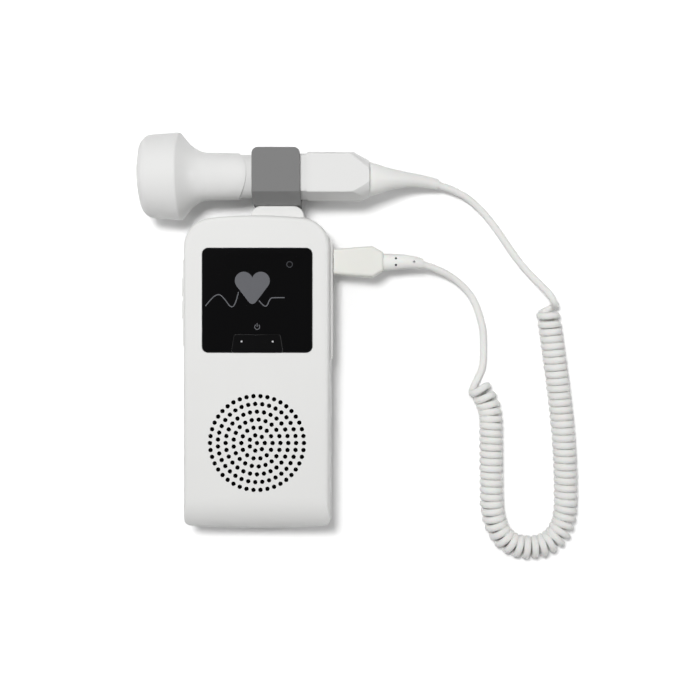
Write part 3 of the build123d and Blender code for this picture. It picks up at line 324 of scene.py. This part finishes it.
# Pressed paper of the speaker cone: fibrous and matt
paper = {"colour": "#151515", "shade": "#202020", "cloud": 0.002, "roughness": (0.8, 0.9), "smear": 0.003,
         "grain": 0.0004, "bump": 0.6, "height": 0.0001, "ior": 1.45}
# Fired piezo ceramic with silvered faces: chalky warm grey
ceramic = {"colour": "#B5AC97", "shade": "#A39A84", "cloud": 0.003, "roughness": (0.5, 0.65), "smear": 0.002,
           "grain": 0.0003, "bump": 0.3, "height": 0.00003, "ior": 1.6}
# Cast clear epoxy of the lamp: pale, with a wet gloss
epoxy = {"colour": "#D9DADB", "shade": "#CFD0D2", "cloud": 0.003, "roughness": (0.08, 0.14), "smear": 0.002,
         "grain": 0.0004, "bump": 0.05, "height": 0.00002, "ior": 1.5, "coat": 0.5, "coatRough": 0.05}
# Screen-printed ink on the lens: flat grey, hardly glossy
greyInk = {"colour": "#68696D", "shade": "#646569", "cloud": 0.004, "roughness": (0.35, 0.45), "smear": 0.002,
           "grain": 0.0003, "bump": 0.1, "height": 0.00001, "ior": 1.45}
# The same ink, printed darker for the lamp's ring: only just seen
dimInk = {"colour": "#3B3C3F", "shade": "#36373A", "cloud": 0.004, "roughness": (0.35, 0.45), "smear": 0.002,
          "grain": 0.0003, "bump": 0.1, "height": 0.00001, "ior": 1.45}
# Zinc-plated steel of the speaker basket and screws: bright but uneven
zinc = {"colour": "#B9BCC0", "shade": "#A5A8AC", "direction": (1, 1, 1), "grain": 0.0008,
        "roughness": (0.25, 0.42)}
# Nickel plate of the contacts, springs and magnet: warmer, smoother and drawn lengthwise
nickel = {"colour": "#D2D0C9", "shade": "#C3C1B9", "direction": (1, 1, 4), "grain": 0.0006,
          "roughness": (0.15, 0.28)}
# Gold plate of the pins: soft yellow gloss along the pin
gold = {"colour": "#E8C46C", "shade": "#DDB65A", "direction": (4, 1, 1), "grain": 0.0005,
        "roughness": (0.15, 0.25)}


def lensFinish():
    # hard-coated acrylic with a black back print: deep black under a clear polished skin
    values = {"colour": "#070708", "roughness": (0.03, 0.07), "smear": 0.02, "detail": 5.0, "ior": 1.49,
              "coat": 0.3, "coatRough": 0.03}
    material, tree = newMaterial("hardCoatedAcrylicBackPrinted")
    place = addNode(tree, "ShaderNodeTexCoord").outputs["Object"]
    smear = addNode(tree, "ShaderNodeTexNoise", {
        "Scale": 1 / values["smear"], "Detail": values["detail"]}, {"Vector": place})
    gloss = addNode(tree, "ShaderNodeMapRange", {
        "From Min": texture["polishedRange"][0], "From Max": texture["polishedRange"][1],
        "To Min": values["roughness"][0], "To Max": values["roughness"][1]}, {"Value": smear.outputs[0]})
    shader = addNode(tree, "ShaderNodeBsdfPrincipled", {
        "Base Color": linear(values["colour"]), "IOR": values["ior"], "Coat Weight": values["coat"],
        "Coat Roughness": values["coatRough"]}, {"Roughness": gloss.outputs[0]})
    addNode(tree, "ShaderNodeOutputMaterial", {}, {"Surface": shader.outputs[0]})
    return material


def boardFinish():
    # solder mask over copper tracks 1.6 mm apart: green, with the tracks a shade lighter under the varnish
    values = {"mask": "#0E5A2C", "track": "#1C7A40", "field": 0.0052, "trackWidth": 0.02, "length": 2.2,
              "spacing": 0.3, "bump": 0.3, "height": 0.00003, "speck": 900.0, "roughness": (0.22, 0.38),
              "ior": 1.5}
    material, tree = newMaterial("solderMaskOverCopper")
    place = addNode(tree, "ShaderNodeTexCoord").outputs["Object"]
    tracks = addNode(tree, "ShaderNodeTexBrick", {
        "Scale": 1 / values["field"], "Mortar Size": values["trackWidth"], "Brick Width": values["length"],
        "Row Height": values["spacing"], "Color1": linear(values["mask"]), "Color2": linear(values["mask"]),
        "Mortar": linear(values["track"])}, {"Vector": place})
    bump = addNode(tree, "ShaderNodeBump", {
        "Strength": values["bump"], "Distance": values["height"]}, {"Height": tracks.outputs["Fac"]})
    speck = addNode(tree, "ShaderNodeTexNoise", {"Scale": values["speck"]}, {"Vector": place})
    gloss = addNode(tree, "ShaderNodeMapRange", {
        "To Min": values["roughness"][0], "To Max": values["roughness"][1]}, {"Value": speck.outputs[0]})
    shader = addNode(tree, "ShaderNodeBsdfPrincipled", {"IOR": values["ior"]}, {
        "Base Color": tracks.outputs["Color"], "Roughness": gloss.outputs[0], "Normal": bump.outputs[0]})
    addNode(tree, "ShaderNodeOutputMaterial", {}, {"Surface": shader.outputs[0]})
    return material


def clothFinish():
    # woven acoustic cloth: black, threads 0.35 mm apart, so that light dies in it
    values = {"colour": "#060606", "thread": 0.00035, "bump": 0.8, "height": 0.0001, "roughness": 0.95,
              "ior": 1.4, "sheen": 0.2}
    material, tree = newMaterial("wovenAcousticCloth")
    place = addNode(tree, "ShaderNodeTexCoord").outputs["Object"]
    scale = math.pi * 2 / values["thread"] / 20  # a wave texture of scale 1 turns by 20 radians in a unit
    warp = addNode(tree, "ShaderNodeTexWave", {"Scale": scale, "bands_direction": "X"}, {"Vector": place})
    weft = addNode(tree, "ShaderNodeTexWave", {"Scale": scale, "bands_direction": "Y"}, {"Vector": place})
    weave = addNode(tree, "ShaderNodeMath", {"operation": "MULTIPLY"}, {
        0: warp.outputs["Fac"], 1: weft.outputs["Fac"]})
    bump = addNode(tree, "ShaderNodeBump", {
        "Strength": values["bump"], "Distance": values["height"]}, {"Height": weave.outputs[0]})
    shader = addNode(tree, "ShaderNodeBsdfPrincipled", {
        "Base Color": linear(values["colour"]), "Roughness": values["roughness"], "IOR": values["ior"],
        "Specular IOR Level": values["sheen"]}, {"Normal": bump.outputs[0]})
    addNode(tree, "ShaderNodeOutputMaterial", {}, {"Surface": shader.outputs[0]})
    return material


def cellFinish():
    # printed sleeve of a dry cell: dark body with a lighter band near one end, unevenly glossy
    values = {"body": "#2A2E36", "band": "#B98B4A", "bandFrom": 0.72, "speck": 300.0,
              "roughness": (0.2, 0.35), "metallic": 0.3, "ior": 1.5}
    material, tree = newMaterial("shrinkSleevePrinted")
    place = addNode(tree, "ShaderNodeTexCoord").outputs["Generated"]
    parts = addNode(tree, "ShaderNodeSeparateXYZ", {}, {"Vector": place})
    band = addNode(tree, "ShaderNodeMath", {"operation": "GREATER_THAN", 1: values["bandFrom"]},
                   {0: parts.outputs["Y"]})
    colour = addNode(tree, "ShaderNodeMix", {
        "data_type": "RGBA", 6: linear(values["body"]), 7: linear(values["band"])}, {0: band.outputs[0]})
    speck = addNode(tree, "ShaderNodeTexNoise", {"Scale": values["speck"]}, {"Vector": place})
    gloss = addNode(tree, "ShaderNodeMapRange", {
        "To Min": values["roughness"][0], "To Max": values["roughness"][1]}, {"Value": speck.outputs[0]})
    shader = addNode(tree, "ShaderNodeBsdfPrincipled", {
        "IOR": values["ior"], "Metallic": values["metallic"]},
        {"Base Color": colour.outputs[2], "Roughness": gloss.outputs[0]})
    addNode(tree, "ShaderNodeOutputMaterial", {}, {"Surface": shader.outputs[0]})
    return material


def buttonFinish():
    # the button's black, with its two raised dots tipped in pale ink
    values = {"ink": "#C9CACC", "tipHeight": 0.0314}
    material = mouldedFinish("satinAbsBlackTipped", buttonAbs)
    tree = material.node_tree
    shader = [node for node in tree.nodes if node.type == "BSDF_PRINCIPLED"][0]
    place = addNode(tree, "ShaderNodeTexCoord").outputs["Object"]
    parts = addNode(tree, "ShaderNodeSeparateXYZ", {}, {"Vector": place})
    tip = addNode(tree, "ShaderNodeMath", {"operation": "GREATER_THAN", 1: values["tipHeight"]},
                  {0: parts.outputs["Z"]})
    black = shader.inputs["Base Color"].links[0].from_socket
    colour = addNode(tree, "ShaderNodeMix", {"data_type": "RGBA", 7: linear(values["ink"])},
                     {0: tip.outputs[0], 6: black})
    tree.links.new(colour.outputs[2], shader.inputs["Base Color"])
    return material


leadJacket = mouldedFinish("polyurethaneJacketSatin", jacket)
finishes = [
    (mouldedFinish("sparkErodedAbsWhite", shellAbs), (
        "front_cover", "rear_cover", "battery_door", "volume_up_key", "volume_down_key")),
    (mouldedFinish("polishedAbsWhite", probeAbs), ("probe_head", "probe_handle_front", "probe_handle_rear")),
    (mouldedFinish("castResinCream", faceResin), ("probe_face",)),
    (mouldedFinish("grainedAbsGrey", clipAbs), ("probe_clip",)),
    (leadJacket, ("probe_strain_relief", "plug_strain_relief")),
    (mouldedFinish("overmouldedPolyurethane", overmould), ("plug_body",)),
    (lensFinish(), ("display_window",)),
    (buttonFinish(), ("power_button",)),
    (mouldedFinish("clearEpoxyLamp", epoxy), ("indicator_led",)),
    (mouldedFinish("glassFilledNylonBlack", nylon), (
        "board_chips", "tact_switches", "probe_socket", "earphone_jack", "display_module")),
    (mouldedFinish("closedCellFoam", foam), ("speaker_gasket", "crystal_backing")),
    (mouldedFinish("pressedPaper", paper), ("speaker_cone",)),
    (mouldedFinish("firedPiezoCeramic", ceramic), ("crystals",)),
    (metalFinish("zincPlatedSteel", zinc), ("speaker_frame", "case_screws", "board_screws")),
    (metalFinish("nickelPlate", nickel), (
        "speaker_magnet", "battery_contacts", "left_battery_spring", "right_battery_spring", "plug_barrel")),
    (metalFinish("goldPlate", gold), ("plug_pins",)),
    (boardFinish(), ("main_board", "probe_board")),
    (clothFinish(), ("dust_screen",)),
    (cellFinish(), ("left_battery", "right_battery")),
]
for finish, names in finishes:
    for name in names:
        nodes[name].data.materials.clear()
        nodes[name].data.materials.append(finish)
leadPiece.data.materials.append(leadJacket)

# Walls of the grille's bores and of the relief's dimples, rough from their pins, get painted shade: a dark
# colour that stands in for the little light that gets in.
paintedBoreShade = {"colour": "#2A2A2A", "shade": "#242424", "cloud": 0.01, "roughness": (0.6, 0.7), "smear": 0.004,
            "grain": 0.0004, "bump": 0.1, "height": 0.00002, "ior": 1.53}
bores = {
    "front_cover": {"middles": [(0.0004, -0.0339)], "reach": 0.0245, "above": 0.0286, "flattest": 0.5},
    "plug_strain_relief": {"middles": [(0.0679, 0.05295), (0.0679, 0.05625), (0.0770, 0.0546)],
                           "reach": 0.00057, "above": 0.0155, "flattest": 1.1},
}
paintedBoreShadeFinish = mouldedFinish("paintedShadeInBores", paintedBoreShade)
for name, bore in bores.items():
    piece = nodes[name]
    piece.data.materials.append(paintedBoreShadeFinish)
    slot = len(piece.data.materials) - 1
    darkened = 0
    # upright faces inside the bores take the painted shade
    for face in piece.data.polygons:
        middle = piece.matrix_world @ face.center
        away = min(math.hypot(middle.x - x, middle.y - y) for x, y in bore["middles"])
        if abs(face.normal.z) < bore["flattest"] and away < bore["reach"] and middle.z > bore["above"]:
            face.material_index = slot
            darkened += 1
    print("bore faces", name, darkened)
print("finishes made")


# Prints on the lens: a heart, a pulse line each side of it, the lamp's ring and a power mark.
prints = {
    "height": 0.03112,
    "thickness": 0.00003,
    "weld": 1e-6,
    "heartMiddle": -0.00183,
    "lobe": {"aside": 0.00409, "up": 0.04426, "radius": 0.00433},
    "tip": {"up": 0.03520, "radius": 0.0021},
    "heartSteps": 36,
    "lineWidth": 0.0005,
    "lineSteps": 8,
    "leftPulse": [
        (-0.0244, 0.0321), (-0.0214, 0.0360), (-0.0179, 0.0382), (-0.0149, 0.0352), (-0.0121, 0.0310),
        (-0.0098, 0.0330), (-0.0085, 0.0388),
    ],
    "rightPulse": [
        (0.0014, 0.0347), (0.0034, 0.0322), (0.0052, 0.0318), (0.0068, 0.0360), (0.0090, 0.0361),
        (0.0137, 0.0361),
    ],
    "ring": {"place": (0.0161, 0.0521), "radii": (0.0011, 0.0016), "arc": (0, 360), "steps": 40},
    "mark": {"place": (0.0005, 0.0220), "radii": (0.0010, 0.0014), "arc": (-235, 55), "steps": 30},
    "markBar": {"half": 0.0002, "height": 0.0017},
}


def flatPrint(name, strips, material):
    # thin printed shape from one or more strips of quads, given as pairs of points
    mesh = bpy.data.meshes.new(name)
    form = bmesh.new()
    for strip in strips:
        rows = [[form.verts.new((x, y, prints["height"])) for x, y in pair] for pair in strip]
        for before, after in zip(rows, rows[1:]):
            form.faces.new((before[0], before[1], after[1], after[0]))
    bmesh.ops.remove_doubles(form, verts=form.verts[:], dist=prints["weld"])
    lifted = bmesh.ops.extrude_face_region(form, geom=form.faces[:])["geom"]
    upper = [part for part in lifted if isinstance(part, bmesh.types.BMVert)]
    bmesh.ops.translate(form, verts=upper, vec=(0, 0, prints["thickness"]))
    bmesh.ops.recalc_face_normals(form, faces=form.faces[:])
    form.to_mesh(mesh)
    form.free()
    mesh.materials.append(material)
    return addPiece(name, mesh, "main_unit", smooth=False)


def heartHalf(side):
    # pairs of points from the heart's outline to its middle line: lobe, slanted flank, round tip
    lobe, tip, steps, middle = prints["lobe"], prints["tip"], prints["heartSteps"], prints["heartMiddle"]
    way = Vector((-lobe["aside"], tip["up"] - lobe["up"]))
    slant = math.atan2(way.y, way.x) + math.acos((lobe["radius"] - tip["radius"]) / way.length)
    first = math.pi - math.acos(lobe["aside"] / lobe["radius"])
    notch = lobe["up"] + lobe["radius"] * math.sin(first)
    outline = []
    for step in range(steps + 1):
        angle = first + (slant - first) * step / steps
        outline.append((lobe["aside"] + lobe["radius"] * math.cos(angle),
                        lobe["up"] + lobe["radius"] * math.sin(angle)))
    for step in range(steps // 2 + 1):
        angle = slant + (-math.pi / 2 - slant) * step / (steps // 2)
        outline.append((tip["radius"] * math.cos(angle), tip["up"] + tip["radius"] * math.sin(angle)))
    return [[(middle + side * x, y), (middle, min(y, notch))] for x, y in outline]


def lineStrip(points):
    # pairs of points each side of a smooth line
    line = curveLine(smoothCurve("pulseGuide", [(x, y, 0) for x, y in points], prints["lineSteps"]))
    half = prints["lineWidth"] / 2
    pairs = []
    for index, point in enumerate(line):
        way = (line[min(index + 1, len(line) - 1)] - line[max(index - 1, 0)]).normalized()
        pairs.append([(point.x - way.y * half, point.y + way.x * half),
                      (point.x + way.y * half, point.y - way.x * half)])
    return pairs


def arcStrip(values):
    # pairs of points on the inner and outer edge of a ring or of part of one
    (x, y), (start, end), steps = values["place"], values["arc"], values["steps"]
    pairs = []
    for step in range(steps + 1):
        angle = math.radians(start + (end - start) * step / steps)
        pairs.append([(x + r * math.cos(angle), y + r * math.sin(angle)) for r in values["radii"]])
    return pairs


def barStrip(place, values):
    # upright bar that starts at a place
    (x, y), half = place, values["half"]
    return [[(x - half, level), (x + half, level)] for level in (y, y + values["height"])]


greyPrint = mouldedFinish("screenPrintedInkGrey", greyInk)
dimPrint = mouldedFinish("screenPrintedInkDim", dimInk)
flatPrint("heartPrint", [heartHalf(1), heartHalf(-1)], greyPrint)
flatPrint("leftPulsePrint", [lineStrip(prints["leftPulse"])], greyPrint)
flatPrint("rightPulsePrint", [lineStrip(prints["rightPulse"])], greyPrint)
flatPrint("lampRingPrint", [arcStrip(prints["ring"])], dimPrint)
powerMark = [arcStrip(prints["mark"]), barStrip(prints["mark"]["place"], prints["markBar"])]
flatPrint("powerMarkPrint", powerMark, greyPrint)
print("lens prints made")


# Table, lamps and surroundings. The lift is what makes the paper white to the eye, near the unit and far off.
studio = {
    "floor": {"side": 4.0, "under": -0.00005, "colour": "#C4C4C4", "middle": (0.03, 0.03, 0.0),
              "reach": (0.04, 0.40), "lift": (2.06, 3.3), "fibre": 1500.0, "bump": 0.05, "height": 0.0001},
    "room": {"horizon": 0.07, "ambient": 0.33, "risesOver": (0.0, 0.6), "zenith": 0.06,
             "zenithOver": (0.9, 0.99), "mirroredOver": (0.3, 0.8)},
    "aim": (0.04, 0.0, 0.0),
    "lamps": [
        # the key is a broad scrim overhead that leaves no glare on the flat faces
        {"name": "key", "place": (-0.06, 0.15, 0.68), "size": 0.14, "power": 2.9, "mirrored": False},
        {"name": "leftEdge", "place": (-1.0, 0.15, 0.5), "size": 0.12, "power": 0.8, "mirrored": True},
        {"name": "rightEdge", "place": (1.0, 0.12, 0.62), "size": 0.12, "power": 1.2, "mirrored": True},
    ],
}


def floorFinish(values):
    # seamless paper: white to the eye out to its far edges, while it still takes the shadow
    material, tree = newMaterial("seamlessPaperWhite")
    path = addNode(tree, "ShaderNodeLightPath").outputs
    place = addNode(tree, "ShaderNodeTexCoord").outputs["Object"]
    paper = linear(values["colour"])
    away = addNode(tree, "ShaderNodeVectorMath", {"operation": "DISTANCE", 1: values["middle"]}, {0: place})
    lift = addNode(tree, "ShaderNodeMapRange", {
        "clamp": False, "From Min": values["reach"][0], "From Max": values["reach"][1],
        "To Min": values["lift"][0], "To Max": values["lift"][1]}, {"Value": away.outputs["Value"]})
    bright = addNode(tree, "ShaderNodeVectorMath", {"operation": "SCALE", 0: paper[:3]},
                     {"Scale": lift.outputs[0]})
    direct = addNode(tree, "ShaderNodeMath", {"operation": "MAXIMUM"}, {
        0: path["Is Camera Ray"], 1: path["Is Transmission Ray"]})
    seen = addNode(tree, "ShaderNodeMath", {"operation": "MAXIMUM"}, {
        0: direct.outputs[0], 1: path["Is Glossy Ray"]})
    colour = addNode(tree, "ShaderNodeMix", {"data_type": "RGBA", 6: paper}, {
        0: seen.outputs[0], 7: bright.outputs[0]})
    fibre = addNode(tree, "ShaderNodeTexNoise", {"Scale": values["fibre"]}, {"Vector": place})
    bump = addNode(tree, "ShaderNodeBump", {
        "Strength": values["bump"], "Distance": values["height"]}, {"Height": fibre.outputs[0]})
    matt = addNode(tree, "ShaderNodeBsdfDiffuse", {}, {"Color": colour.outputs[2], "Normal": bump.outputs[0]})
    addNode(tree, "ShaderNodeOutputMaterial", {}, {"Surface": matt.outputs[0]})
    return material


# the floor lies just under the case's flat back, so that the two are never in one plane
half, under = studio["floor"]["side"] / 2, studio["floor"]["under"]
corners = [(-half, -half, under), (half, -half, under), (half, half, under), (-half, half, under)]
floorMesh = bpy.data.meshes.new("floor")
floorMesh.from_pydata(corners, [], [(0, 1, 2, 3)])
floorMesh.materials.append(floorFinish(studio["floor"]))
floorPiece = bpy.data.objects.new("floor", floorMesh)
bpy.context.scene.collection.objects.link(floorPiece)

for values in studio["lamps"]:
    lampData = bpy.data.lights.new(values["name"], "AREA")
    lampData.size = values["size"]
    lampData.energy = values["power"]
    lamp = bpy.data.objects.new(values["name"], lampData)
    lamp.location = values["place"]
    towards = Vector(studio["aim"]) - Vector(values["place"])
    lamp.rotation_euler = towards.to_track_quat("-Z", "Y").to_euler()
    lamp.visible_glossy = values["mirrored"]
    bpy.context.scene.collection.objects.link(lamp)

world = bpy.data.worlds.new("studio")
bpy.context.scene.world = world
world.use_nodes = True
tree = world.node_tree
tree.nodes.clear()
room = studio["room"]
path = addNode(tree, "ShaderNodeLightPath").outputs
sky = addNode(tree, "ShaderNodeTexCoord").outputs["Generated"]
rise = addNode(tree, "ShaderNodeSeparateXYZ", {}, {"Vector": sky}).outputs["Z"]
# the room is brightest halfway up; it is dimmer straight overhead, where the camera hangs
sides = addNode(tree, "ShaderNodeMapRange", {
    "From Min": room["risesOver"][0], "From Max": room["risesOver"][1], "To Min": room["horizon"],
    "To Max": room["ambient"]}, {"Value": rise})
overhead = addNode(tree, "ShaderNodeMapRange", {
    "From Min": room["zenithOver"][0], "From Max": room["zenithOver"][1], "To Max": room["zenith"]},
    {"Value": rise, "To Min": sides.outputs[0]})
# polished faces mirror the pale room all round, but not overhead
around = addNode(tree, "ShaderNodeMapRange", {
    "From Min": room["mirroredOver"][0], "From Max": room["mirroredOver"][1], "To Min": 1.0, "To Max": 0.0},
    {"Value": rise})
mirrored = addNode(tree, "ShaderNodeMath", {"operation": "MULTIPLY"}, {
    0: path["Is Glossy Ray"], 1: around.outputs[0]})
direct = addNode(tree, "ShaderNodeMath", {"operation": "MAXIMUM"}, {
    0: path["Is Camera Ray"], 1: path["Is Transmission Ray"]})
seen = addNode(tree, "ShaderNodeMath", {"operation": "MAXIMUM"}, {
    0: direct.outputs[0], 1: mirrored.outputs[0]})
level = addNode(tree, "ShaderNodeMix", {"data_type": "FLOAT", 3: 1.0}, {
    0: seen.outputs[0], 2: overhead.outputs[0]})
background = addNode(tree, "ShaderNodeBackground", {"Color": (1, 1, 1, 1)}, {"Strength": level.outputs[0]})
addNode(tree, "ShaderNodeOutputWorld", {}, {"Surface": background.outputs[0]})

bpy.context.scene.view_settings.view_transform = "Standard"
print("studio made")
